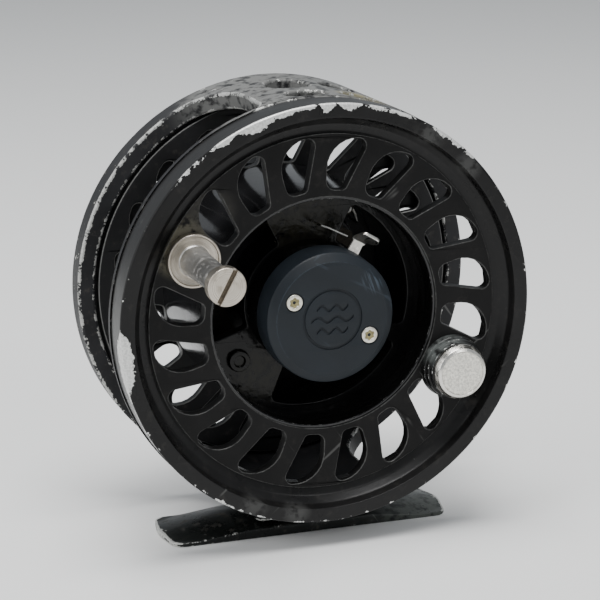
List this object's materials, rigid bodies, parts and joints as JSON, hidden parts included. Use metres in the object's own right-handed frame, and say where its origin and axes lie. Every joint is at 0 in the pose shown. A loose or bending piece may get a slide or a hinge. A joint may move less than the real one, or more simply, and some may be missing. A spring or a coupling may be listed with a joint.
{
  "type": "fly reel",
  "caption": "Fly fishing reel with a ported cage, a removable ported spool with a palming rim, a disc drag, a click pawl and a foot.",
  "frame": {"origin": "centre of the foot's flat underside, where it sits on a rod's reel seat", "axes": "+X along the foot, -Y towards the handle side along the spool's axis, +Z from the foot up to the cage's top"},
  "size_m": [0.0894, 0.0748, 0.095],
  "materials": {
    "black_anodised": "black anodised, satin, chipped bright on its edges",
    "worn_black_frame": "black anodised, worn matt grey with pale edges",
    "worn_black_foot": "black anodised, scraped bright along its edges",
    "cap_plastic": "dark blue-grey, fine scratches",
    "nickel": "warm brushed nickel",
    "screw_steel": "slightly rusted steel",
    "stainless": "turned",
    "spring_steel": "drawn wire",
    "grained_silver": "grainy pale face, polished rim",
    "inner_aluminium": "black anodised, satin",
    "knob_aluminium": "clear anodised",
    "bronze": "sintered bronze",
    "cork": "cork"
  },
  "bodies": {
    "frame": {"frame_back": "worn_black_frame", "frame_front_ring": "worn_black_frame", "frame_top_band": "worn_black_frame", "frame_foot_band": "worn_black_frame", "reel_foot": "worn_black_foot", "foot_screw_left": "stainless", "foot_screw_right": "stainless", "spindle": "stainless", "spindle_nut": "stainless", "pawl_pin": "stainless", "click_spring": "spring_steel", "drag_disc": "cork"},
    "rotor": {"one_way_clutch": "stainless", "drive_ring": "inner_aluminium", "drive_pin_1": "stainless", "drive_pin_2": "stainless", "drive_pin_3": "stainless", "brake_disc": "inner_aluminium", "click_gear": "bronze"},
    "spool": {"spool_rim": "black_anodised", "spool_face": "black_anodised", "spool_arbor": "black_anodised", "spool_hub": "black_anodised", "spool_flange": "black_anodised", "hub_cap": "cap_plastic", "cap_screw_left": "screw_steel", "cap_screw_right": "screw_steel", "bush_front": "bronze", "bush_rear": "bronze", "release_spring": "spring_steel", "handle_flange": "nickel", "handle_post": "nickel", "handle_nut": "nickel", "counterweight": "grained_silver", "counterweight_housing": "black_anodised"},
    "release": {"release_lever": "nickel"},
    "drag_knob": {"drag_knob": "black_anodised", "knob_cap": "knob_aluminium"},
    "pressure": {"pressure_plate": "inner_aluminium", "thrust_pin_1": "stainless", "thrust_pin_2": "stainless", "thrust_pin_3": "stainless", "spring_washer": "spring_steel"},
    "click_pawl": {"click_pawl": "bronze"}
  },
  "joints": [
    {"name": "spool_spin", "type": "hinge", "parent": "frame", "child": "rotor", "pos_m": [0, 0, 0.0503], "axis": [0, 1, 0], "continuous": true},
    {"name": "spool_pull_off", "type": "slide", "parent": "rotor", "child": "spool", "axis": [0, -1, 0], "range_m": [0, 0.04]},
    {"name": "release_press", "type": "slide", "parent": "spool", "child": "release", "axis": [0.5, 0, 0.866], "range_m": [0, 0.0012], "stiffness_N_per_m": 600, "springref_m": -0.0004},
    {"name": "drag_knob_turn", "type": "hinge", "parent": "frame", "child": "drag_knob", "pos_m": [0, 0, 0.0503], "axis": [0, -1, 0], "range_deg": [0, 330]},
    {"name": "pressure_slide", "type": "slide", "parent": "frame", "child": "pressure", "axis": [0, -1, 0], "range_m": [0, 0.0002]},
    {"name": "pawl_rock", "type": "hinge", "parent": "frame", "child": "click_pawl", "pos_m": [0.01376, 0.0112, 0.06669], "axis": [0, 1, 0], "range_deg": [-20, 20], "stiffness_Nm_per_rad": 0.002}
  ],
  "couplings": [
    {"joint": "pressure_slide", "follows": "drag_knob_turn", "m_per_rad": 0.0000347}
  ]
}
